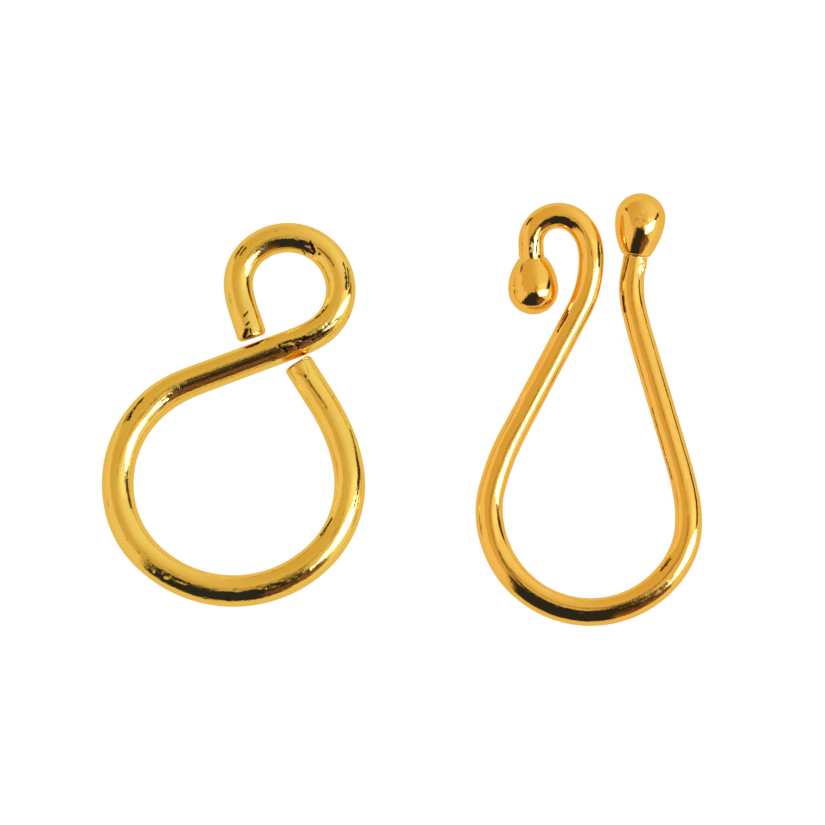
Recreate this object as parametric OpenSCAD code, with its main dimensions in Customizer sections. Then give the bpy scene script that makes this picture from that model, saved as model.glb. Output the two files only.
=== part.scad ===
// Figure-eight hook-and-eye clasp: an eye bent from one wire into a figure eight,
// and a hook bent from one thinner wire with a ball on each end.
// Both lie on the XY plane, +X to the right, +Y along the clasp, +Z up. Millimetres.

/* [Eye] */
// Diameter of the wire that the eye is bent from
eye_wire_d = 1.55; // [1.3:0.05:1.7]
// Radius of the rolled edge round each cut end of the eye's wire
eye_end_round = 0.25; // [0.1:0.05:0.4]

/* [Hook] */
// Diameter of the wire that the hook is bent from
hook_wire_d = 1.3; // [1.1:0.05:1.4]
// Widest diameter of the ball on each end of the hook
ball_d = 2.6; // [2.3:0.05:2.8]
// Radius of the swell that draws a ball in to its neck, like a pear
ball_swell = 3.4; // [2.6:0.1:4]
// Height of the small step where a ball's neck stops on the wire
neck_step = 0.03; // [0.01:0.01:0.08]

/* [Place] */
// X of the cut end in the eye's large loop, where its wire starts
eye_start_x = -5.36; // [-7:0.01:-4]
// Y of that cut end
eye_start_y = 2.28; // [1:0.01:4]
// Direction of the wire there, degrees from +X
eye_heading = -57.5; // [-60:0.5:-54]
// X of the centre of the hook's right-hand ball
hook_ball_x = 12.36; // [11:0.01:14]
// Y of that centre
hook_ball_y = 9.96; // [9:0.01:11]
// Direction of the wire as it leaves that ball, degrees from +X
hook_heading = -98; // [-100:1:-94]
// Tilt of the hook about +X as it rests on both balls and its bow, degrees
hook_tilt = 1.6; // [1:0.05:2]

/* [Hidden] */
$fn = 64;

// Columns of a bend table. Each row is one stroke on the wire bender:
// feed straight wire, roll the bending plane about the wire, then bend.
FEED = 0;   // straight wire fed first, mm
ROLL = 1;   // turn of the bending plane about the wire, degrees
RADIUS = 2; // centreline radius of the bend, mm
BEND = 3;   // angle of the bend, degrees, positive to the left
SWELL = 4;  // how much wider than the drawn wire the stroke is left, mm

// The eye: clockwise round the large loop, across the waist, back round the small loop
eye_strokes = [
    // feed, roll, radius, bend, swell
    [2, 0, 13, -8, 0],
    [0, 0, 8, -15, 0.02],
    [0, 0, 5.2, -54, 0.06],
    [0, 0, 6.4, -91, 0.1],
    [0, 0, 5, -29, 0.12],
    [0, 0, 5.55, -76, 0.1],
    [0, 0, 8, -9, 0.04],
    [5.7, 0, 6.2, 11, 0],
    [0, 0, 2.6, 70, -0.01],
    [0, 0, 2.75, 118, -0.02],
    [0, 0, 2.3, 58, -0.03],
    [0, 0, 5.7, 11, -0.02],
    [1.3, 0, 0, 0, -0.01]
];

// The hook: down from the right-hand ball, round the bow, up the left arm, which lifts a little, and round
// the curl, which dips at its end
hook_strokes = [
    // feed, roll, radius, bend, swell
    [1, 0, 4.9, 21, 0],
    [0, 0, 30, 3.5, -0.01],
    [6.7, 0, 14.7, -6.5, 0.02],
    [0, 0, 6.6, -13.5, 0.1],
    [0, 0, 4.05, -26.5, 0.14],
    [0, 0, 5.25, -123, 0.16],
    [0, 0, 5.5, -25, 0.14],
    [0, -6, 4.3, -16, 0.1],
    [0, 0, 12.8, -14, 0.06],
    [7.25, 6, 5.7, 30, 0],
    [0, 0, 3.1, 12, 0.01],
    [0, 0, 2.15, 34, 0.03],
    [0, 0, 1.43, 50, 0.05],
    [0, -7, 1.43, 85, 0],
    [0.43, 0, 0, 0, -0.05]
];

// How far the thinner of two neighbouring strokes runs on inside the thicker one, mm
lap = 0.02;

// Diameter of the eye's wire at its widest stroke
eye_widest_d = eye_wire_d + max([for (stroke = eye_strokes) stroke[SWELL]]);
// Diameter of the eye's wire at its second cut end
eye_tail_d = eye_wire_d + eye_strokes[len(eye_strokes) - 1][SWELL];
// Distance from a ball's centre back to its neck
ball_neck = sqrt(ball_swell ^ 2 - (ball_swell - (ball_d - hook_wire_d) / 2 + neck_step) ^ 2);

// How far a stroke runs on into the one beside it in the table
function lap_into(strokes, row, beside) =
    beside >= 0 && beside < len(strokes) && strokes[row][SWELL] < strokes[beside][SWELL] ? lap : 0;

// The angle that a length of wire takes up on a bend
function angle_of(length, radius) = length / radius * 180 / PI;

// Straight wire along +X, which also runs back past its start
module straight_wire(wire_d, feed, back = 0) {
    if (feed > 0)
        translate([-back, 0, 0])
            rotate([0, 90, 0])
                cylinder(d = wire_d, h = feed + back);
}

// A bend that leaves the origin along +X and also runs on by an angle at each end
module wire_bend(wire_d, radius, bend, angle_back, angle_on) {
    mirror([0, bend < 0 ? 1 : 0, 0])
        translate([0, radius, 0])
            rotate([0, 0, -90 - angle_back])
                rotate_extrude(angle = abs(bend) + angle_back + angle_on)
                    translate([radius, 0])
                        circle(d = wire_d);
}

// Moves its children from a bend's start to its end
module after_bend(radius, bend) {
    side = sign(bend);
    translate([0, side * radius, 0])
        rotate([0, 0, bend])
            translate([0, -side * radius, 0])
                children();
}

// Wire bent stroke by stroke, with the children on its far end, facing along +X
module bent_wire(drawn_d, strokes, row = 0) {
    if (row < len(strokes)) {
        stroke = strokes[row];
        feed = stroke[FEED];
        radius = stroke[RADIUS];
        bend = stroke[BEND];
        wire_d = drawn_d + stroke[SWELL];
        back = lap_into(strokes, row, row - 1);
        on = lap_into(strokes, row, row + 1);
        rotate([stroke[ROLL], 0, 0]) {
            straight_wire(wire_d, feed, back);
            translate([feed, 0, 0])
                if (bend == 0) {
                    bent_wire(drawn_d, strokes, row + 1) children();
                } else {
                    wire_bend(wire_d, radius, bend,
                              feed > 0 ? 0 : angle_of(back, radius), angle_of(on, radius));
                    after_bend(radius, bend)
                        bent_wire(drawn_d, strokes, row + 1) children();
                }
        }
    } else {
        children();
    }
}

// Cut end of a wire along +X, with its edge rolled round
module cut_end(wire_d) {
    face_r = wire_d / 2 - eye_end_round;
    rotate([0, 90, 0])
        rotate_extrude() {
            square([face_r, eye_end_round]);
            intersection() {
                translate([face_r, 0]) circle(r = eye_end_round);
                translate([face_r, 0]) square(eye_end_round);
            }
        }
}

// Half outline of a ball: x is its radius, and y runs from its neck to its tip
module ball_outline() {
    ball_r = ball_d / 2;
    translate([0, ball_neck])
        intersection() {
            circle(r = ball_r);
            square(ball_r);
        }
    intersection() {
        translate([ball_r - ball_swell, ball_neck]) circle(r = ball_swell);
        square([ball_r, ball_neck]);
    }
}

// Ball with its neck on the origin, pointing along +X
module end_ball() {
    rotate([0, 90, 0])
        rotate_extrude()
            ball_outline();
}

module figure_eight_eye() {
    color("goldenrod")
        translate([eye_start_x, eye_start_y, eye_widest_d / 2])
            rotate([0, 0, eye_heading]) {
                mirror([1, 0, 0]) cut_end(eye_wire_d);
                bent_wire(eye_wire_d, eye_strokes) cut_end(eye_tail_d);
            }
}

module ball_end_hook() {
    color("gold")
        translate([hook_ball_x, hook_ball_y, ball_d / 2])
            rotate([hook_tilt, 0, 0])
                rotate([0, 0, hook_heading])
                    translate([ball_neck, 0, 0]) {
                        mirror([1, 0, 0]) end_ball();
                        bent_wire(hook_wire_d, hook_strokes) end_ball();
                    }
}

figure_eight_eye();
ball_end_hook();
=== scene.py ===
import math

import bmesh
import bpy
from mathutils import Matrix, Vector, noise


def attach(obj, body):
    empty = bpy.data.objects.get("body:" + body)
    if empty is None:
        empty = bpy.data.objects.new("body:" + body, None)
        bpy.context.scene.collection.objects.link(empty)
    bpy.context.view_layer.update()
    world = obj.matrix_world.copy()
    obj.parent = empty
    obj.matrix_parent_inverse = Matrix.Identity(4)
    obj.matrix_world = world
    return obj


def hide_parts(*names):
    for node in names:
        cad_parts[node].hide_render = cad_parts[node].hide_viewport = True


# The looks of a hook-and-eye clasp: a wire eye bent into a figure eight, and a wire hook with a ball on each
# end. Wire sizes are in millimetres and degrees, as on the bender. The scene is in metres, Z up.

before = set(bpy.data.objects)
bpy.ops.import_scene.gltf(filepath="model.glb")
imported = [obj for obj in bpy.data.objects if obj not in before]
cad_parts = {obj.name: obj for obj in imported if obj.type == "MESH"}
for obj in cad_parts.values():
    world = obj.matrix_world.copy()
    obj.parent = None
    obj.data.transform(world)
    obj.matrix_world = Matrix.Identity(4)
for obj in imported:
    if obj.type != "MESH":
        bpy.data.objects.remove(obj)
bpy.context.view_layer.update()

MM = 0.001

# Columns of a bend table: straight wire fed, roll of the bending plane, bend radius, bend angle, and how much
# wider than the drawn wire the stroke is left
EYE_STROKES = (
    (2, 0, 13, -8, 0),
    (0, 0, 8, -15, 0.02),
    (0, 0, 5.2, -54, 0.06),
    (0, 0, 6.4, -91, 0.1),
    (0, 0, 5, -29, 0.12),
    (0, 0, 5.55, -76, 0.1),
    (0, 0, 8, -9, 0.04),
    (5.7, 0, 6.2, 11, 0),
    (0, 0, 2.6, 70, -0.01),
    (0, 0, 2.75, 118, -0.02),
    (0, 0, 2.3, 58, -0.03),
    (0, 0, 5.7, 11, -0.02),
    (1.3, 0, 0, 0, -0.01),
)
HOOK_STROKES = (
    (1, 0, 4.9, 21, 0),
    (0, 0, 30, 3.5, -0.01),
    (6.7, 0, 14.7, -6.5, 0.02),
    (0, 0, 6.6, -13.5, 0.1),
    (0, 0, 4.05, -26.5, 0.14),
    (0, 0, 5.25, -123, 0.16),
    (0, 0, 5.5, -25, 0.14),
    (0, -6, 4.3, -16, 0.1),
    (0, 0, 12.8, -14, 0.06),
    (7.25, 6, 5.7, 30, 0),
    (0, 0, 3.1, 12, 0.01),
    (0, 0, 2.15, 34, 0.03),
    (0, 0, 1.43, 50, 0.05),
    (0, -7, 1.43, 85, 0),
    (0.43, 0, 0, 0, -0.05),
)

# The drawn wires, and where each starts
EYE_WIRE_D = 1.55
EYE_WIDEST_D = 1.67
EYE_START = (-5.36, 2.28)
EYE_HEADING = -57.5
HOOK_WIRE_D = 1.3
HOOK_START = (12.36, 9.96)
HOOK_HEADING = -98
HOOK_TILT = 1.6
# The rolled edge of the eye's cut ends, the turn between its rings, and the rings of the flat cut inside it
EYE_END_ROUND = 0.25
CUT_EDGE_TURN = 9
CUT_FACE_RINGS = (0.94, 0.8, 0.6, 0.4, 0.2)
# The balls: width, radius of the swell to the neck, step at the neck, turn between the rings of the round
# end, and how much squarer than round they are
BALL_D = 2.6
BALL_SWELL = 3.4
NECK_STEP = 0.03
BALL_TURN = 3
BALL_SQUARENESS = 0.15
# How much narrower the wire is at its right and left ball (wider below 0), and how far along it that reaches
HOOK_NECKS = (0.05, -0.015)
NECK_REACH = 1.8
# The left ball's neck sits this much later on the ball, with plain rings up to it, and to the inner side. It
# moves aside over the first length and comes back over the second.
LEFT_NECK_LATE = 0.28
PLAIN_RINGS = (0, 0.25, 0.5, 0.75, 1)
LEFT_NECK_ASIDE = 0.035
ASIDE_GROWS = 0.3
ASIDE_FADES = 1.4
# Rings that climb a neck's step: distance past the neck, and share of the step
STEP_RINGS = ((0.01, 0.35), (0.03, 0.75))
# Distance from a ball's neck to its centre
BALL_NECK = math.sqrt(BALL_SWELL**2 - (BALL_SWELL - (BALL_D - HOOK_WIRE_D) / 2 + NECK_STEP) ** 2)

# How finely the wire is modelled: sides of its rings, distance between rings, and how near points are joined
SIDES = 96
EYE_RING_GAP = 0.056
HOOK_RING_GAP = 0.061
JOIN = 0.004
# Half the length over which one stroke's width eases into the next
EASE = 0.9

# How the bending tools pressed each wire, by distance along it: squareness (2 is round), height as a share
# of width, and the lean of the pressed top to the wire's left in degrees
EYE_PRESSED = (
    (0, 2, 1, 0),
    (2.5, 2.1, 0.96, 0),
    (6, 2.1, 0.96, 3),
    (8, 2.1, 0.96, 8),
    (12, 2.1, 0.96, 9),
    (14, 2.15, 0.96, 10),
    (19, 2.15, 0.96, 10),
    (22, 2.1, 0.96, 0),
    (25.5, 2.1, 0.96, -4),
    (29, 2.1, 0.96, -5),
    (31, 2.1, 0.96, -16),
    (39, 2.1, 0.96, -16),
    (42, 2.1, 0.96, 0),
    (44, 2.1, 0.96, 6),
    (46.5, 2.1, 0.96, 7),
    (48.3, 2.1, 0.96, 2.5),
    (50.5, 2.1, 0.97, 0),
    (52.58, 2, 1, 0),
)
HOOK_PRESSED = (
    (0, 2, 1, 0),
    (2, 2.1, 0.95, 0),
    (14, 2.2, 0.94, 2),
    (17.5, 2.4, 0.92, 5.5),
    (19.5, 2.4, 0.92, 12),
    (25, 2.4, 0.92, 12),
    (28, 2.1, 0.94, 1),
    (31, 2.05, 0.95, 3),
    (43, 2.05, 0.95, 3),
    (45.5, 2.05, 0.97, 1),
    (47, 2.05, 0.98, 5),
    (48.3, 2.05, 0.955, 4),
    (49.5, 2, 0.98, 0),
    (50.38, 2, 1, 0),
)

# The uneven skin left by tumbling: bumps to a millimetre, and their height
SKIN_FINENESS = 1.4
SKIN_DEPTH = 0.0028
# How ragged the edges of a tool mark are, as a share of its width, how finely, and how many of its half
# widths it can reach
RAGGED = 0.8
RAGGED_FINENESS = 7.0
MARK_REACH = 1.6
# Ripples to a millimetre in a tool mark, along and round the wire, and what keeps them apart from the skin's
# bumps
RIPPLES_ALONG = 2.2
RIPPLES_ROUND = 6
RIPPLES_APART = 30
# Half width of a ring below which skin and marks fade, towards the tips of the wire
TIP_FADE = 0.3

# Tool marks, some of which also paint dark reflection lines and glints. Each is a stroke from one place to
# another, given as distance along the wire and share of its half width to the left, then its half width, its
# depth (below 0 stands out), the depth of its
# ripples, and its stain: above 0 brown dirt and painted dark reflection line, below 0 a bare fleck and
# painted glint
EYE_MARKS = (
    # large loop, from its cut end
    (0.05, 0.45, 0.5, 0.3, 0.07, 0.012, 0, 0.25),
    (0.5, 0.3, 0.62, 0, 0.07, 0.012, 0, 0.25),
    (0.62, 0, 0.15, -0.42, 0.07, 0.015, 0, 0.35),
    (0.62, -0.05, 2.6, 0.06, 0.06, 0.01, 0, 0.9),
    (0.9, 0.1, 2.2, 0.14, 0.05, -0.006, 0, 0),
    (2.25, 0.76, 2.32, 0.76, 0.06, 0.01, 0, 0.7),
    (4.1, 0.8, 6.2, 0.62, 0.05, 0.006, 0, 1.4),
    (6.2, 0.62, 7.9, 0.42, 0.05, 0.006, 0, 1.6),
    (8.8, -0.72, 10, -0.82, 0.08, 0.02, 0, 1.9),
    (11.8, 0.3, 14.6, 0.1, 0.3, 0, 0.024, 0.2),
    (12.6, 0.42, 14.2, 0.5, 0.05, 0.006, 0, 0.9),
    (12.9, -0.02, 15.8, -0.1, 0.12, 0, 0.012, 0.25),
    (16.1, 0.5, 16.2, 0.46, 0.08, 0.014, 0, 0.9),
    (17.2, 0.62, 17.3, 0.6, 0.06, 0.01, 0, 0.6),
    (18.2, 0.3, 19.9, 0.42, 0.22, 0, 0.05, 0.2),
    (19.3, 0.1, 20.2, 0.35, 0.12, 0, 0.03, 0.7),
    (21.2, 0.2, 21.3, 0.2, 0.05, 0.008, 0, 0.5),
    (22.1, 0.34, 22.2, 0.34, 0.05, 0.008, 0, 0.5),
    (23.6, -0.66, 26, -0.58, 0.06, 0.006, 0.01, 1.2),
    (24.9, -0.5, 25.6, -0.52, 0.1, 0, 0.014, 0.2),
    (28.25, 0.58, 29.5, 0.7, 0.07, 0.016, 0, 1.7),
    (28.3, 0.5, 28.5, 0.54, 0.06, 0.012, 0, 1.6),
    # crossing
    (29.9, -0.2, 31.4, -0.1, 0.2, 0, 0.026, 0.2),
    (30.2, -0.36, 31, -0.36, 0.12, 0, 0.02, -0.3),
    (30.9, -0.2, 37, -0.18, 0.035, -0.004, 0, 0.7),
    (30.9, -0.34, 37.2, -0.33, 0.035, 0.005, 0, 0.6),
    (35.3, 0.85, 36.2, 0.86, 0.1, 0.015, 0, 1.5),
    (36.4, -0.62, 37.9, -0.78, 0.14, -0.02, 0.02, -0.5),
    (30.9, 0.08, 38.6, 0.06, 0.03, 0.006, 0, 0.9),
    (31.2, -0.1, 37.4, -0.08, 0.03, 0.005, 0, 0.8),
    (31.5, -0.27, 37, -0.25, 0.03, -0.006, 0, -0.35),
    (31, -0.46, 36.6, -0.44, 0.035, 0.005, 0, 0.9),
    (36.9, 0.2, 37.2, -0.36, 0.1, 0, 0.05, 1.1),
    (37, 0.24, 38.4, 0.16, 0.07, 0.01, 0.04, 1.3),
    (37.1, -0.05, 37.9, -0.2, 0.09, 0, 0.06, 1.2),
    (37.6, -0.3, 38.4, -0.42, 0.05, -0.01, 0.03, -0.8),
    (38.1, 0, 39.2, -0.12, 0.06, 0.01, 0.05, 1.1),
    (38.5, -0.3, 39.6, -0.36, 0.06, 0.01, 0.05, 1),
    (37.5, 0.1, 37.8, -0.4, 0.08, 0, 0.05, -0.8),
    (38.2, -0.1, 40.2, -0.3, 0.24, 0, 0.045, 0.6),
    (38.6, 0, 39.9, -0.06, 0.05, 0.01, 0, 1),
    (39.5, 0.8, 40.25, 0.74, 0.07, 0.014, 0, 1.8),
    (40.5, -0.93, 40.55, -0.93, 0.07, 0.012, 0, 1.2),
    # small loop, to its cut end
    (41.7, -0.38, 42.9, -0.6, 0.055, 0.012, 0.02, 1.6),
    (41.8, -0.54, 42.6, -0.7, 0.05, 0.012, 0.02, 1.4),
    (41.7, -0.3, 42.5, -0.44, 0.05, -0.012, 0, 0.9),
    (43, 0.05, 44.25, 0.06, 0.05, 0.01, 0, 1.2),
    (43.5, 0.5, 44.3, 0.34, 0.12, 0, 0.016, -0.3),
    (44.2, 0.5, 45.6, 0.1, 0.24, 0, 0.06, 0.3),
    (44.25, 0.45, 44.75, 0, 0.12, 0, 0.05, 1.6),
    (44.5, 0.6, 45, 0.3, 0.06, -0.01, 0, -1.2),
    (44.75, 0.86, 45, 0.66, 0.07, 0.016, 0, 1.2),
    (44.9, 0.2, 45.3, 0.02, 0.05, -0.01, 0, -0.9),
    (46.4, 0.48, 48, 0.4, 0.06, 0.006, 0, 0.8),
    (46.6, 0.36, 47.7, 0.3, 0.05, 0.006, 0, 0.5),
    (46.9, 0.14, 48, 0.18, 0.045, 0.006, 0, 1.4),
    (48.1, -0.46, 48.5, -0.44, 0.055, 0.014, 0, 1.7),
    (48.15, -0.68, 48.5, -0.66, 0.055, 0.014, 0, 1.7),
    (46.5, -0.49, 46.52, -0.49, 0.05, 0.008, 0, 0.9),
    (49.3, 0.62, 50.6, 0.72, 0.05, 0.004, 0, 1.4),
    (50.6, 0.72, 51.9, 0.74, 0.04, 0.004, 0, 1.2),
    (51.45, 0.22, 51.6, -0.06, 0.06, 0.018, 0, 1.8),
    (52, 0.1, 52.08, -0.14, 0.07, 0.018, 0, 1.8),
    (52.3, 0.1, 52.55, 0, 0.07, 0.012, 0, 1.6),
    (52.36, -0.24, 52.6, -0.5, 0.16, 0.02, 0, 1.8),
    (51.9, -0.15, 52.5, -0.28, 0.05, -0.01, 0, 0),
    (52.35, 0.3, 52.55, 0.55, 0.1, -0.01, 0, -0.6),
)
HOOK_MARKS = (
    # flat spots on the balls
    (-1.95, 0, -1.95, 0, 0.55, 0.048, 0, 0),
    (51.7, 0, 51.7, 0, 0.5, 0.03, 0, 0),
    # metal that runs from each ball into the side of its wire
    (-0.25, 0.93, 0.5, 0.93, 0.42, -0.07, 0, 0),
    (50.45, -0.95, 50.75, -0.95, 0.3, -0.025, 0, 0),
    # right arm, from the right-hand ball
    (0.15, 0.62, 0.9, 0.56, 0.1, 0, 0.014, -0.2),
    (0, -0.55, 1.3, -0.7, 0.05, 0.012, 0, 1.4),
    (0.1, -0.8, 1.9, -0.86, 0.05, 0.012, 0, 1.1),
    (2.1, -0.74, 2.8, -0.78, 0.1, 0.014, 0, 1.6),
    (8, -0.78, 11.8, -0.82, 0.045, 0.008, 0, 1.3),
    # bow
    (16.5, -0.6, 17.35, -0.66, 0.07, 0.016, 0, 1.8),
    (17.2, 0.3, 19.6, 0.2, 0.2, 0, 0.014, 0.2),
    (17.6, 0.3, 19.8, 0.44, 0.045, 0.005, 0, 0.9),
    (17.6, 0.2, 20.4, -0.04, 0.045, 0.005, 0, 1),
    (18.4, 0.3, 20.8, 0.2, 0.04, -0.004, 0, -0.2),
    (20.5, 0, 24, 0.06, 0.12, 0, 0.01, 0.1),
    (25.4, 0.02, 28, -0.06, 0.045, 0.007, 0, 0.9),
    (25.8, -0.06, 27, -0.14, 0.035, 0.006, 0, 0.6),
    (28.2, -0.74, 30.7, -0.56, 0.05, 0.006, 0.008, 1.2),
    # left arm and curl
    (40.25, 0.72, 41.3, 0.64, 0.08, 0.016, 0, 1.8),
    (41.3, 0.64, 42.1, 0.66, 0.07, -0.012, 0, -0.8),
    (39.95, -0.02, 40, 0, 0.05, 0.006, 0, 0.3),
    (44.15, -0.62, 44.95, -0.64, 0.08, 0, 0.02, 1.6),
    (46.8, 0.1, 48.2, 0, 0.1, 0, 0.012, 0.2),
    (48.8, -0.76, 49.05, -0.7, 0.07, 0.014, 0, 1.6),
    (49.75, 0.2, 50.1, 0.2, 0.16, 0.012, 0.01, -1.1),
    (49.6, 0.62, 50.3, 0.5, 0.07, 0.014, 0, 1.6),
)


# Wire

def stroke_lengths(strokes):
    """The length of wire that each stroke takes, in millimetres."""
    return [feed + radius * math.radians(abs(bend)) for feed, _, radius, bend, _ in strokes]


def eased_swell(strokes, along):
    """How much wider than drawn the wire is there, with the change from stroke to stroke eased."""
    total = 0.0
    start = 0.0
    lengths = stroke_lengths(strokes)
    for number, (stroke, length) in enumerate(zip(strokes, lengths)):
        low = -math.inf if number == 0 else start
        high = math.inf if number == len(strokes) - 1 else start + length
        shared = min(high, along + EASE) - max(low, along - EASE)
        swell = stroke[-1]
        total += swell * max(0.0, shared)
        start += length
    return total / (2 * EASE)


def bent_path(start, strokes, ring_gap):
    """One list of (place, distance along the wire) for each stroke. A place has its X along the wire."""
    place = start.copy()
    along = 0.0
    rolled = 0.0
    lengths = []
    for feed, roll, radius, bend, _ in strokes:
        place = place @ Matrix.Rotation(math.radians(roll), 4, "X")
        rolled += math.radians(roll)
        path = [(place.copy(), along)]
        if feed:
            steps = max(2, round(feed / ring_gap))
            for step in range(1, steps + 1):
                fed = feed * step / steps
                path.append((place @ Matrix.Translation((fed * MM, 0, 0)), along + fed))
            place, along = path[-1][0].copy(), along + feed
        if bend:
            centre = Vector((0, math.copysign(radius, bend) * MM, 0))
            arc = radius * math.radians(abs(bend))
            steps = max(2, round(arc / ring_gap))
            for step in range(1, steps + 1):
                turn = Matrix.Rotation(math.radians(bend) * step / steps, 4, "Z")
                path.append((
                    place @ Matrix.Translation(centre) @ turn @ Matrix.Translation(-centre),
                    along + arc * step / steps,
                ))
            place, along = path[-1][0].copy(), along + arc
        upright = Matrix.Rotation(-rolled, 4, "X")
        lengths.append([(station @ upright, distance) for station, distance in path])
    return lengths


def smooth(share):
    """An eased step from 0 to 1."""
    share = min(1.0, max(0.0, share))
    return share * share * (3 - 2 * share)


def pressed_at(rows, along):
    """Squareness, height share and lean of the pressed wire at a distance along it, eased from row to row."""
    for here, there in zip(rows, rows[1:]):
        if along <= there[0]:
            share = smooth((along - here[0]) / (there[0] - here[0]))
            return [low + (high - low) * share for low, high in zip(here[1:], there[1:])]
    return rows[-1][1:]


def cross_section(place, along, half_width, half_height=None, squareness=2.0, lean=0.0):
    """A ring of the wire: what turns a unit circle into it, its place along the wire and how it was pressed.

    The half width and height are in millimetres, and the lean is in degrees to the wire's left.
    """
    half_height = half_width if half_height is None else half_height
    return {
        "matrix": place @ Matrix.Diagonal((1, half_width * MM, half_height * MM, 1)),
        "along": along,
        "half_width": half_width,
        "squareness": squareness,
        "lean": math.tan(math.radians(lean)),
        "upright": 1 / math.cos(math.radians(lean)),
    }


def mark_at(marks, along, round_wire, half_width, rough, ripple):
    """The depth in millimetres, and the grime and painted dark lines and glints of the tool marks, at one
    point of the wire.
    """
    depth = 0.0
    stain_and_painted_light = 0.0
    point = Vector((along, round_wire))
    for from_along, from_side, to_along, to_side, mark_width, mark_depth, mark_ripple, mark_stain_and_light in marks:
        start = Vector((from_along, half_width * math.asin(from_side)))
        stroke = Vector((to_along, half_width * math.asin(to_side))) - start
        share = 0.0
        if stroke.length_squared:
            share = min(1.0, max(0.0, (point - start).dot(stroke) / stroke.length_squared))
        away = (point - start - stroke * share).length / (mark_width * (1 + RAGGED * rough))
        if away < 1:
            fade = (1 - away * away) ** 2
            depth += (mark_depth + mark_ripple * ripple) * fade
            stain_and_painted_light += mark_stain_and_light * fade
    return depth, stain_and_painted_light


def marks_near(marks, along):
    """The tool marks that can reach this distance along the wire."""
    near = []
    for mark in marks:
        from_along, _, to_along, _, mark_width, *_ = mark
        reach = MARK_REACH * mark_width
        if min(from_along, to_along) < along + reach and max(from_along, to_along) > along - reach:
            near.append(mark)
    return near


def work_ring(ring, section, marks, layers):
    """Presses one round ring to its section, wears its skin uneven and strikes the marks into it."""
    matrix = section["matrix"]
    back = matrix.inverted()
    along = section["along"]
    half_width = section["half_width"]
    squareness = section["squareness"]
    near = marks_near(marks, along)
    for vert in ring:
        unit = back @ vert.co
        across, up = unit.y, unit.z
        place = Vector((along, across * half_width, up * half_width))
        skin = noise.noise(place * SKIN_FINENESS) * SKIN_DEPTH
        depth, stain_and_painted_light = 0.0, 0.0
        if near:
            rough = noise.noise(place * RAGGED_FINENESS)
            ripple = noise.noise(Vector((
                along * RIPPLES_ALONG, place.y * RIPPLES_ROUND, place.z * RIPPLES_ROUND + RIPPLES_APART,
            )))
            round_wire = half_width * math.atan2(across, up)
            depth, stain_and_painted_light = mark_at(near, along, round_wire, half_width, rough, ripple)
        spread = (abs(across) ** squareness + abs(up) ** squareness) ** (-1 / squareness)
        cut = (depth - skin) / half_width * min(1.0, half_width / TIP_FADE)
        pressed_across = across * (spread - cut)
        pressed_up = (up * (spread - cut) - section["lean"] * pressed_across) / section["upright"]
        vert.co = matrix @ Vector((unit.x, pressed_across, pressed_up))
        vert[layers["wire_place"]] = place
        # The marks' dirt and bare flecks, with their painted dark reflection lines and painted glints
        vert[layers["stain_and_painted_light"]] = stain_and_painted_light


def draw_length(wire, sections, marks):
    """Draws one length of wire, ring after ring through its sections, works it and adds it to the wire."""
    length = bmesh.new()
    layers = wire_layers(length)
    upright = Matrix.Rotation(math.pi / 2, 4, "Y")
    last = sections[0]["matrix"]
    ring = bmesh.ops.create_circle(length, segments=SIDES, radius=1, matrix=last @ upright)["verts"]
    edges = list(length.edges)
    rings = [ring]
    for section in sections[1:]:
        drawn = bmesh.ops.extrude_edge_only(length, edges=edges)["geom"]
        ring = [part for part in drawn if isinstance(part, bmesh.types.BMVert)]
        edges = [part for part in drawn if isinstance(part, bmesh.types.BMEdge)]
        bmesh.ops.transform(length, verts=ring, matrix=section["matrix"] @ last.inverted())
        last = section["matrix"]
        rings.append(ring)
    for ring, section in zip(rings, sections):
        work_ring(ring, section, marks, layers)
    mesh = bpy.data.meshes.new("length")
    length.to_mesh(mesh)
    length.free()
    wire.from_mesh(mesh)
    bpy.data.meshes.remove(mesh)


def wire_layers(mesh):
    """The two layers that a wire's finish follows: place along and round the wire, and the marks' grime and
    painted light.
    """
    return {
        "wire_place": mesh.verts.layers.float_vector.new("wire_place"),
        "stain_and_painted_light": mesh.verts.layers.float.new("stain_and_painted_light"),
    }


def wire_sections(path, strokes, drawn_d, pressed, necks=(0.0, 0.0)):
    """The cross-sections of every length of a bent wire. Its necks are how much narrower each end is."""
    total = sum(stroke_lengths(strokes))
    made = []
    for stations in path:
        sections = []
        for place, along in stations:
            squareness, height, lean = pressed_at(pressed, along)
            half_width = (drawn_d + eased_swell(strokes, along)) / 2
            half_width -= necks[0] * (1 - smooth(along / NECK_REACH))
            half_width -= necks[1] * (1 - smooth((total - along) / NECK_REACH))
            half_height = half_width * height
            lowered = place @ Matrix.Translation((0, 0, (half_height - half_width) * MM))
            sections.append(cross_section(lowered, along, half_width, half_height, squareness, lean))
        made.append(sections)
    return made


def cut_end_sections(place, along, half_width, way):
    """The rolled edge of a cut end and the flat cut inside it.

    The way is 1 at the wire's far end and -1 at its start.
    """
    face_r = half_width - EYE_END_ROUND
    sections = []
    for degrees in range(0, 91, CUT_EDGE_TURN):
        turn = math.radians(degrees)
        out = way * EYE_END_ROUND * math.sin(turn)
        edge = place @ Matrix.Translation((out * MM, 0, 0))
        sections.append(cross_section(edge, along + out, face_r + EYE_END_ROUND * math.cos(turn)))
    for share in CUT_FACE_RINGS:
        sections.append(cross_section(edge, along + out, face_r * share))
    return sections


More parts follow.
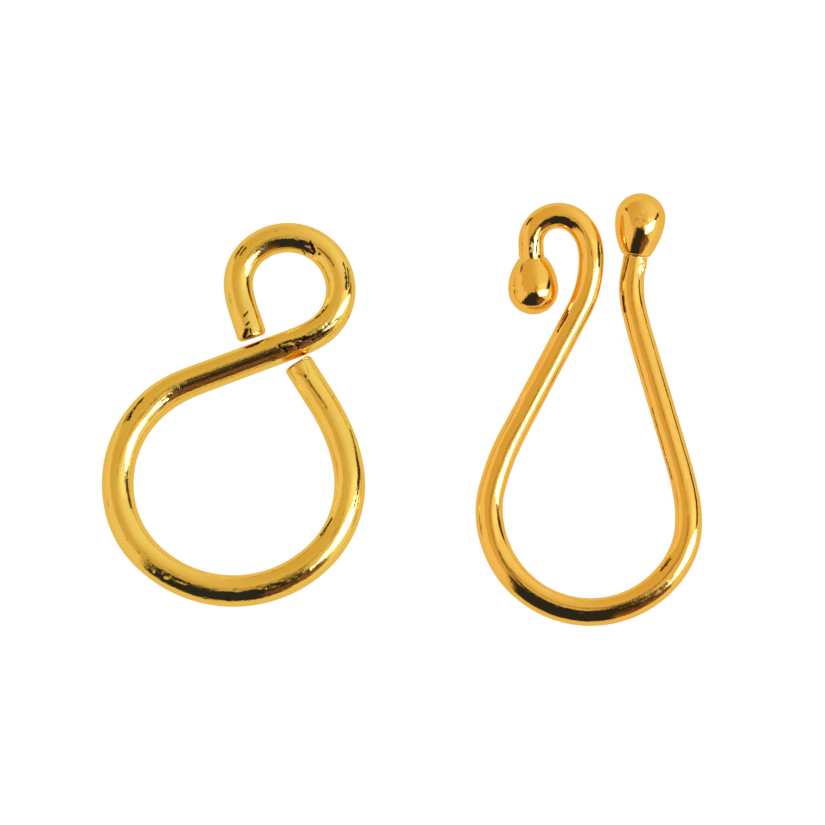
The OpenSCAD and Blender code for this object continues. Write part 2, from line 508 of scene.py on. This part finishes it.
def ball_sections(place, along, neck_r, way, late=0.0, aside=0.0):
    """A pear-shaped ball from its neck, on the wire's end, out to its tip.

    The way is 1 at the wire's far end and -1 at its start. The neck can sit a little late on the ball's
    length, and a little to the left of the ball's line.
    """
    ball_r = BALL_D / 2
    step = HOOK_WIRE_D / 2 + NECK_STEP - neck_r
    rise = ball_r - neck_r - step
    swell = ((BALL_NECK - late) ** 2 + rise**2) / (2 * rise)
    profile = [(late * share, neck_r) for share in (PLAIN_RINGS if late else (0,))]
    profile += [(late + out, neck_r + share * step) for out, share in STEP_RINGS]
    rings = round((BALL_NECK - late) / HOOK_RING_GAP)
    for number in range(1, rings):
        out = late + (BALL_NECK - late) * number / rings
        profile.append((out, ball_r - swell + math.sqrt(swell**2 - (out - BALL_NECK) ** 2)))
    for degrees in range(0, 90, BALL_TURN):
        turn = math.radians(degrees)
        profile.append((BALL_NECK + ball_r * math.sin(turn), ball_r * math.cos(turn)))
    sections = []
    for out, half_width in profile:
        sideways = aside * smooth(out / ASIDE_GROWS) * (1 - smooth((out - ASIDE_GROWS) / ASIDE_FADES))
        centre = place @ Matrix.Translation((way * out * MM, sideways * MM, 0))
        squareness = 2 + BALL_SQUARENESS * smooth(out / BALL_NECK)
        sections.append(cross_section(centre, along + way * out, half_width, squareness=squareness))
    return sections


def bent_wire(name, node, material, lengths, marks):
    """One closed wire made of drawn lengths. It takes the CAD node's place."""
    wire = bmesh.new()
    wire_layers(wire)
    for sections in lengths:
        draw_length(wire, sections, marks)
    bmesh.ops.remove_doubles(wire, verts=wire.verts, dist=JOIN * MM)
    rims = [edge for edge in wire.edges if edge.is_boundary]
    tips = bmesh.ops.holes_fill(wire, edges=rims, sides=0)["faces"]
    bmesh.ops.poke(wire, faces=tips)
    bmesh.ops.recalc_face_normals(wire, faces=wire.faces)
    for face in wire.faces:
        face.smooth = True
    mesh = bpy.data.meshes.new(name)
    wire.to_mesh(mesh)
    wire.free()
    mesh.materials.append(material)
    piece = bpy.data.objects.new(name, mesh)
    bpy.context.scene.collection.objects.link(piece)
    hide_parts(node)
    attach(piece, "root")


# Node helpers

def new_node(tree, kind, inputs=None, **settings):
    """A node with its settings made and its inputs linked or given values."""
    node = tree.nodes.new(kind)
    for key, value in settings.items():
        setattr(node, key, value)
    for socket, value in (inputs or {}).items():
        if isinstance(value, bpy.types.NodeSocket):
            tree.links.new(value, node.inputs[socket])
        else:
            node.inputs[socket].default_value = value
    return node


def new_group(name, inputs, outputs):
    """A shader node group with named sockets, its input node and its output node."""
    group = bpy.data.node_groups.new(name, "ShaderNodeTree")
    for socket, kind in inputs.items():
        group.interface.new_socket(socket, in_out="INPUT", socket_type=kind)
    for socket, kind in outputs.items():
        group.interface.new_socket(socket, in_out="OUTPUT", socket_type=kind)
    return group, group.nodes.new("NodeGroupInput"), group.nodes.new("NodeGroupOutput")


# Gold finishes

# How much the slow patches and the fine mottling each deepen the plate's colour
PATCH_SHARE = 0.55
MOTTLE_SHARE = 0.45
# How strongly the fine grain breaks up the marks' stain and painted light, and how much of it it always
# leaves
STAIN_AND_LIGHT_BROKEN = 1.2
STAIN_AND_LIGHT_LEFT = 0.4
# How much rougher the marks' dirt and painted dark reflection lines are than the plate, and the colour of the
# gold where it is seen edge-on
DIRT_AND_REFLECTION_ROUGHNESS = 0.3
EDGE_GOLD = (0.95, 0.85, 0.6, 1)

# Each wire's own colours, polish, and the size and depth in millimetres of its lines and grain
# The dirt colour also paints dark reflection lines, and the bare colour also paints glints
EYE_FINISH = {
    "gold": (0.94, 0.67, 0.21, 1), "deep_gold": (0.9, 0.62, 0.17, 1),
    "dirt_and_dark_reflection": (0.035, 0.016, 0.006, 1), "bare_and_glint": (1.0, 0.86, 0.64, 1),
    "polish": 0.03, "worn_polish": 0.07, "patch_size": 0.7, "mottle_fineness": 7.0,
    "line_fineness": 8.0, "line_stretch": 0.07, "line_depth": 0.009, "grain_depth": 0.004,
}
HOOK_FINISH = {
    "gold": (0.98, 0.62, 0.185, 1), "deep_gold": (0.95, 0.57, 0.15, 1),
    "dirt_and_dark_reflection": (0.035, 0.015, 0.006, 1), "bare_and_glint": (1.0, 0.84, 0.64, 1),
    "polish": 0.03, "worn_polish": 0.06, "patch_size": 0.7, "mottle_fineness": 7.5,
    "line_fineness": 9.0, "line_stretch": 0.05, "line_depth": 0.006, "grain_depth": 0.0028,
}


def drawn_lines_group():
    """Fine lines that the drawing die leaves along the wire, and their height."""
    group, given, result = new_group(
        "drawn lines",
        {"Wire place": "NodeSocketVector", "Fineness": "NodeSocketFloat", "Stretch": "NodeSocketFloat"},
        {"Height": "NodeSocketFloat"},
    )
    stretch = new_node(group, "ShaderNodeCombineXYZ", {"X": given.outputs["Stretch"], "Y": 1.0, "Z": 1.0})
    place = new_node(
        group, "ShaderNodeVectorMath",
        {0: given.outputs["Wire place"], 1: stretch.outputs["Vector"]}, operation="MULTIPLY",
    )
    lines = new_node(
        group, "ShaderNodeTexNoise",
        {"Vector": place.outputs["Vector"], "Scale": given.outputs["Fineness"], "Detail": 3.0,
         "Roughness": 0.55},
    )
    group.links.new(lines.outputs["Fac"], result.inputs["Height"])
    return group


def plate_tone_group():
    """Where the plate looks deeper and duller: slow patches and fine mottling together."""
    group, given, result = new_group(
        "plate tone",
        {"Wire place": "NodeSocketVector", "Patch size": "NodeSocketFloat",
         "Mottle fineness": "NodeSocketFloat"},
        {"Deep": "NodeSocketFloat", "Dull": "NodeSocketFloat", "Grain": "NodeSocketFloat"},
    )
    patches = new_node(
        group, "ShaderNodeTexNoise",
        {"Vector": given.outputs["Wire place"], "Scale": given.outputs["Patch size"], "Detail": 4.0,
         "Roughness": 0.6},
    )
    mottle = new_node(
        group, "ShaderNodeTexNoise",
        {"Vector": given.outputs["Wire place"], "Scale": given.outputs["Mottle fineness"], "Detail": 3.0,
         "Roughness": 0.7},
    )
    dull = new_node(
        group, "ShaderNodeMapRange", {"Value": patches.outputs["Fac"], "From Min": 0.42, "From Max": 0.72},
        interpolation_type="SMOOTHSTEP",
    )
    speckle = new_node(
        group, "ShaderNodeMapRange", {"Value": mottle.outputs["Fac"], "From Min": 0.35, "From Max": 0.75},
    )
    speckled = new_node(
        group, "ShaderNodeMath", {0: speckle.outputs["Result"], 1: MOTTLE_SHARE}, operation="MULTIPLY",
    )
    deep = new_node(
        group, "ShaderNodeMath",
        {0: dull.outputs["Result"], 1: PATCH_SHARE, 2: speckled.outputs["Value"]}, operation="MULTIPLY_ADD",
    )
    group.links.new(deep.outputs["Value"], result.inputs["Deep"])
    group.links.new(dull.outputs["Result"], result.inputs["Dull"])
    group.links.new(mottle.outputs["Fac"], result.inputs["Grain"])
    return group


def tool_stain_and_light_group():
    """Brown grime and painted dark reflection lines in tool marks, pale flecks and painted glints beside
    them, broken up finely.
    """
    group, given, result = new_group(
        "tool stain",
        {"Stain and painted light": "NodeSocketFloat", "Grain": "NodeSocketFloat"},
        {"Dirt and dark reflection": "NodeSocketFloat", "Bare and glint": "NodeSocketFloat"},
    )
    # Dark mask: dirt and painted dark reflection lines. Pale mask: bare flecks and painted glints
    for output, way in (("Dirt and dark reflection", 1.0), ("Bare and glint", -1.0)):
        amount = new_node(group, "ShaderNodeMath", {0: given.outputs["Stain and painted light"], 1: way}, operation="MULTIPLY")
        broken = new_node(
            group, "ShaderNodeMath",
            {0: given.outputs["Grain"], 1: STAIN_AND_LIGHT_BROKEN, 2: STAIN_AND_LIGHT_LEFT}, operation="MULTIPLY_ADD",
        )
        mask = new_node(
            group, "ShaderNodeMath", {0: amount.outputs["Value"], 1: broken.outputs["Value"]},
            operation="MULTIPLY", use_clamp=True,
        )
        group.links.new(mask.outputs["Value"], result.inputs[output])
    return group


def gold_finish(name, groups, finish):
    """Polished gold plate, with painted dark reflection lines and glints in its marks. The finish holds this
    wire's own colours and depths.
    """
    material = bpy.data.materials.new(name)
    material.use_nodes = True
    tree = material.node_tree
    tree.nodes.clear()
    place = new_node(tree, "ShaderNodeAttribute", attribute_name="wire_place").outputs["Vector"]
    struck_stain_and_light = new_node(tree, "ShaderNodeAttribute", attribute_name="stain_and_painted_light").outputs["Fac"]
    lines = new_node(
        tree, "ShaderNodeGroup",
        {"Wire place": place, "Fineness": finish["line_fineness"], "Stretch": finish["line_stretch"]},
        node_tree=groups["lines"],
    )
    tone = new_node(
        tree, "ShaderNodeGroup",
        {"Wire place": place, "Patch size": finish["patch_size"],
         "Mottle fineness": finish["mottle_fineness"]},
        node_tree=groups["tone"],
    )
    stain_and_painted_light = new_node(
        tree, "ShaderNodeGroup", {"Stain and painted light": struck_stain_and_light, "Grain": tone.outputs["Grain"]}, node_tree=groups["stain_and_painted_light"],
    )
    line_bump = new_node(
        tree, "ShaderNodeBump",
        {"Height": lines.outputs["Height"], "Strength": 1.0, "Distance": finish["line_depth"] * MM},
    )
    grain_bump = new_node(
        tree, "ShaderNodeBump",
        {"Height": tone.outputs["Grain"], "Strength": 1.0, "Distance": finish["grain_depth"] * MM,
         "Normal": line_bump.outputs["Normal"]},
    )
    plate = new_node(
        tree, "ShaderNodeMix",
        {"Factor": tone.outputs["Deep"], "A": finish["gold"], "B": finish["deep_gold"]}, data_type="RGBA",
    )
    # Brown dirt and painted dark reflection lines from the marks, then bare flecks and painted glints
    with_dirt_and_dark_reflection = new_node(
        tree, "ShaderNodeMix",
        {"Factor": stain_and_painted_light.outputs["Dirt and dark reflection"], "A": plate.outputs["Result"], "B": finish["dirt_and_dark_reflection"]},
        data_type="RGBA",
    )
    flecked_and_glinting = new_node(
        tree, "ShaderNodeMix",
        {"Factor": stain_and_painted_light.outputs["Bare and glint"], "A": with_dirt_and_dark_reflection.outputs["Result"], "B": finish["bare_and_glint"]},
        data_type="RGBA",
    )
    polish = new_node(
        tree, "ShaderNodeMapRange",
        {"Value": tone.outputs["Dull"], "To Min": finish["polish"], "To Max": finish["worn_polish"]},
    )
    roughness = new_node(
        tree, "ShaderNodeMath", {0: stain_and_painted_light.outputs["Dirt and dark reflection"], 1: DIRT_AND_REFLECTION_ROUGHNESS, 2: polish.outputs["Result"]},
        operation="MULTIPLY_ADD",
    )
    shader = new_node(
        tree, "ShaderNodeBsdfPrincipled",
        {"Base Color": flecked_and_glinting.outputs["Result"], "Metallic": 1.0, "Roughness": roughness.outputs["Value"],
         "Specular Tint": EDGE_GOLD, "Normal": grain_bump.outputs["Normal"]},
    )
    new_node(tree, "ShaderNodeOutputMaterial", {"Surface": shader.outputs["BSDF"]})
    return material


# Studio

# The camera looks straight down at this point, in millimetres. The frame is this wide at this height, near
# the middle of the wires. The camera's own height is in metres.
FRAME_CENTRE = (0.52, -0.13)
FRAME_WIDTH = 42.9
FRAME_LEVEL = 0.9
CAMERA_HEIGHT = 0.4
SENSOR_WIDTH = 36
CAMERA_LENS = SENSOR_WIDTH * (CAMERA_HEIGHT / MM - FRAME_LEVEL) / FRAME_WIDTH

# Half the floor's width in metres, its dark paint, and its glow, as the camera sees it and as the gold
# mirrors it
FLOOR_HALF_WIDTH = 1.5
FLOOR_PAINT = (0.05, 0.05, 0.05, 1)
FLOOR_SEEN = (0.97, 0.975, 1.0)
FLOOR_MIRRORED = (0.82, 0.71, 0.36)

# What surrounds the clasp, as the gold mirrors it. Corners are (azimuth from +X, angle from straight up) in
# degrees, then the softness of the sides in degrees, then the light that comes from it.
PANELS = (
    # name, corners, softness, colour
    ("left wall", ((-133, 33), (137, 89), (137, 125), (-131, 125)), 2.0, (0.92, 0.77, 0.46)),
    ("wall streak", ((-172, 75), (-170, 110), (-166, 110), (-168, 75)), 1.5, (0.6, 0.45, 0.2)),
    ("right glow", ((-12, 18), (8, 30), (6, 64), (-14, 62)), 6.0, (1.2, 1.15, 0.8)),
    ("dark gap", ((-10, 54), (-10, 70), (10, 92), (16, 81)), 1.5, (0.03, 0.02, 0.015)),
    ("dark gap, far part", ((8, 90), (15, 79), (28, 104), (20, 111)), 1.5, (0.03, 0.02, 0.015)),
    ("dark notch", ((134, 106), (141, 107), (154, 72), (146, 70)), 2.0, (0.08, 0.05, 0.03)),
    ("camera", ((-34, 11), (-146, 11), (-167, 9), (-13, 9)), 2.8, (0.56, 0.36, 0.14)),
    ("curtain rod", ((-76, 3), (-78, 22), (-62, 26), (-58, 3)), 0.7, (0.04, 0.032, 0.03)),
    ("curtain", ((-80, 19), (-82, 84), (-43, 76), (-46, 40)), 1.5, None),
    ("dark opening", ((-126, 20), (-129, 89), (-77, 82), (-76, 20)), 1.0, (0.026, 0.031, 0.055)),
    ("softbox", ((-28, 25.4), (-54, 41), (-27, 63.5), (-6, 70.5)), 1.0, (4.0, 5.0, 7.0)),
)
# The curtain's folds from its hem up: share of the way up, and the light that comes from there
CURTAIN_FOLDS = (
    (0.0, (0.62, 0.4, 0.17)),
    (0.125, (0.12, 0.06, 0.025)),
    (0.25, (0.55, 0.32, 0.13)),
    (0.35, (0.07, 0.035, 0.02)),
    (0.467, (0.4, 0.2, 0.09)),
    (0.533, (0.05, 0.03, 0.02)),
    (0.617, (0.5, 0.2, 0.1)),
    (0.683, (0.045, 0.03, 0.02)),
    (0.8, (0.14, 0.07, 0.035)),
    (0.87, (0.04, 0.03, 0.025)),
)
# How high the curtain's hem and top are, as shares of straight up, and how much its folds slant
CURTAIN_HEM = -0.4
CURTAIN_TOP = 0.8
CURTAIN_SLANT = -0.6
# The ceiling's light on the eye's side and on the hook's side, and how far across one changes to the other
CEILING_DIM = (0.72, 0.55, 0.19)
CEILING_BRIGHT = (0.93, 0.88, 0.56)
CEILING_CHANGES = (-0.35, 0.7)


def direction(azimuth, from_zenith):
    """The unit vector at this azimuth from +X and this angle from straight up, in degrees."""
    turn = math.radians(azimuth)
    lean = math.radians(from_zenith)
    return Vector((math.sin(lean) * math.cos(turn), math.sin(lean) * math.sin(turn), math.cos(lean)))


def panel_sides(corners):
    """The planes through the clasp and each side of a four-cornered panel, each facing into the panel."""
    ways = [direction(*corner) for corner in corners]
    middle = sum(ways, Vector())
    sides = []
    for here, there in zip(ways, ways[1:] + ways[:1]):
        side = here.cross(there).normalized()
        sides.append(side if side.dot(middle) > 0 else -side)
    return sides


def panel_group():
    """A mask that is 1 where a direction falls inside a four-sided panel, with soft sides."""
    group, given, result = new_group(
        "studio panel",
        {"Direction": "NodeSocketVector", "Side 1": "NodeSocketVector", "Side 2": "NodeSocketVector",
         "Side 3": "NodeSocketVector", "Side 4": "NodeSocketVector", "Softness": "NodeSocketFloat"},
        {"Mask": "NodeSocketFloat"},
    )
    mask = None
    outer = new_node(group, "ShaderNodeMath", {0: given.outputs["Softness"], 1: -1.0}, operation="MULTIPLY")
    for number in range(1, 5):
        inside = new_node(
            group, "ShaderNodeVectorMath",
            {0: given.outputs["Direction"], 1: given.outputs[f"Side {number}"]}, operation="DOT_PRODUCT",
        )
        step = new_node(
            group, "ShaderNodeMapRange",
            {"Value": inside.outputs["Value"], "From Min": outer.outputs["Value"],
             "From Max": given.outputs["Softness"]},
            interpolation_type="SMOOTHSTEP",
        )
        if mask is None:
            mask = step.outputs["Result"]
        else:
            mask = new_node(
                group, "ShaderNodeMath", {0: mask, 1: step.outputs["Result"]}, operation="MULTIPLY",
            ).outputs["Value"]
    group.links.new(mask, result.inputs["Mask"])
    return group


def curtain_folds(tree, parts):
    """The curtain's slanting folds, as a colour that changes from its hem to its top."""
    height = new_node(
        tree, "ShaderNodeMath", {0: parts.outputs["X"], 1: CURTAIN_SLANT, 2: parts.outputs["Z"]},
        operation="MULTIPLY_ADD",
    )
    share = new_node(
        tree, "ShaderNodeMapRange",
        {"Value": height.outputs["Value"], "From Min": CURTAIN_HEM, "From Max": CURTAIN_TOP},
    )
    folds = new_node(tree, "ShaderNodeValToRGB", {"Fac": share.outputs["Result"]})
    stops = folds.color_ramp.elements
    stops.remove(stops[-1])
    for number, (place, light) in enumerate(CURTAIN_FOLDS):
        stop = stops.new(place) if number else stops[0]
        stop.position = place
        stop.color = (*light, 1)
    return folds.outputs["Color"]


def studio_world():
    """A room with a pale ceiling, a softbox and a dark opening, which only the gold mirrors."""
    world = bpy.data.worlds.new("studio")
    world.use_nodes = True
    tree = world.node_tree
    tree.nodes.clear()
    way = new_node(tree, "ShaderNodeTexCoord").outputs["Generated"]
    parts = new_node(tree, "ShaderNodeSeparateXYZ", {"Vector": way})
    across = new_node(
        tree, "ShaderNodeMapRange",
        {"Value": parts.outputs["X"], "From Min": CEILING_CHANGES[0], "From Max": CEILING_CHANGES[1]},
        interpolation_type="SMOOTHSTEP",
    )
    colour = new_node(
        tree, "ShaderNodeMix",
        {"Factor": across.outputs["Result"], "A": (*CEILING_DIM, 1), "B": (*CEILING_BRIGHT, 1)},
        data_type="RGBA",
    ).outputs["Result"]
    masks = panel_group()
    folds = curtain_folds(tree, parts)
    for name, corners, softness, light in PANELS:
        sides = {f"Side {number}": side for number, side in enumerate(panel_sides(corners), start=1)}
        panel = new_node(
            tree, "ShaderNodeGroup",
            {"Direction": way, **sides, "Softness": math.sin(math.radians(softness))},
            node_tree=masks, label=name,
        )
        colour = new_node(
            tree, "ShaderNodeMix",
            {"Factor": panel.outputs["Mask"], "A": colour, "B": (*light, 1) if light else folds},
            data_type="RGBA",
        ).outputs["Result"]
    room = new_node(tree, "ShaderNodeBackground", {"Color": colour, "Strength": 1.0})
    backdrop = new_node(tree, "ShaderNodeBackground", {"Color": (1.0, 1.0, 1.0, 1), "Strength": 1.0})
    seen = new_node(tree, "ShaderNodeLightPath").outputs["Is Camera Ray"]
    mixed = new_node(
        tree, "ShaderNodeMixShader",
        {0: seen, 1: room.outputs["Background"], 2: backdrop.outputs["Background"]},
    )
    new_node(tree, "ShaderNodeOutputWorld", {"Surface": mixed.outputs["Shader"]})
    bpy.context.scene.world = world


def pale_floor():
    """A plain white table that glows, so that shadows on it stay faint. The gold mirrors it warm."""
    mesh = bpy.data.meshes.new("floor")
    table = bmesh.new()
    bmesh.ops.create_grid(table, x_segments=1, y_segments=1, size=FLOOR_HALF_WIDTH)
    table.to_mesh(mesh)
    table.free()
    material = bpy.data.materials.new("pale floor")
    material.use_nodes = True
    tree = material.node_tree
    seen = new_node(tree, "ShaderNodeLightPath").outputs["Is Camera Ray"]
    glow = new_node(
        tree, "ShaderNodeMix",
        {"Factor": seen, "A": (*FLOOR_MIRRORED, 1), "B": (*FLOOR_SEEN, 1)}, data_type="RGBA",
    )
    shader = tree.nodes["Principled BSDF"]
    shader.inputs["Base Color"].default_value = FLOOR_PAINT
    shader.inputs["Roughness"].default_value = 0.9
    shader.inputs["Specular IOR Level"].default_value = 0.0
    shader.inputs["Emission Strength"].default_value = 1.0
    tree.links.new(glow.outputs["Result"], shader.inputs["Emission Color"])
    mesh.materials.append(material)
    floor = bpy.data.objects.new("floor", mesh)
    bpy.context.scene.collection.objects.link(floor)


def photo_camera():
    """The camera, straight above the clasp."""
    camera = bpy.data.cameras.new("camera")
    camera.sensor_width = SENSOR_WIDTH
    camera.lens = CAMERA_LENS
    camera.clip_start = 0.01
    camera.clip_end = 10
    seat = bpy.data.objects.new("camera", camera)
    seat.location = (FRAME_CENTRE[0] * MM, FRAME_CENTRE[1] * MM, CAMERA_HEIGHT)
    bpy.context.scene.collection.objects.link(seat)
    bpy.context.scene.camera = seat


# Pieces

def build_eye(material):
    """The figure-eight eye: one wire with two cut ends."""
    start = Matrix.Translation(Vector((*EYE_START, EYE_WIDEST_D / 2)) * MM)
    start = start @ Matrix.Rotation(math.radians(EYE_HEADING), 4, "Z")
    path = bent_path(start, EYE_STROKES, EYE_RING_GAP)
    lengths = wire_sections(path, EYE_STROKES, EYE_WIRE_D, EYE_PRESSED)
    first = lengths[0][0]
    last = lengths[-1][-1]
    lengths.insert(0, cut_end_sections(path[0][0][0], 0.0, first["half_width"], -1))
    lengths.append(cut_end_sections(path[-1][-1][0], last["along"], last["half_width"], 1))
    bent_wire("eye_wire", "figure_eight_eye", material, lengths, EYE_MARKS)


def build_hook(material):
    """The hook: one wire with a ball drawn out of each end."""
    start = Matrix.Translation(Vector((*HOOK_START, BALL_D / 2)) * MM)
    start = start @ Matrix.Rotation(math.radians(HOOK_TILT), 4, "X")
    start = start @ Matrix.Rotation(math.radians(HOOK_HEADING), 4, "Z")
    start = start @ Matrix.Translation((BALL_NECK * MM, 0, 0))
    path = bent_path(start, HOOK_STROKES, HOOK_RING_GAP)
    lengths = wire_sections(path, HOOK_STROKES, HOOK_WIRE_D, HOOK_PRESSED, HOOK_NECKS)
    first = lengths[0][0]
    last = lengths[-1][-1]
    lengths.insert(0, ball_sections(path[0][0][0], 0.0, first["half_width"], -1))
    lengths.append(ball_sections(
        path[-1][-1][0], last["along"], last["half_width"], 1, LEFT_NECK_LATE, LEFT_NECK_ASIDE,
    ))
    bent_wire("hook_wire", "ball_end_hook", material, lengths, HOOK_MARKS)


bpy.context.scene.view_settings.view_transform = "Standard"
photo_camera()
studio_world()
pale_floor()
finish_groups = {"lines": drawn_lines_group(), "tone": plate_tone_group(), "stain_and_painted_light": tool_stain_and_light_group()}
build_eye(gold_finish("eye gold", finish_groups, EYE_FINISH))
build_hook(gold_finish("hook gold", finish_groups, HOOK_FINISH))

bpy.context.view_layer.update()
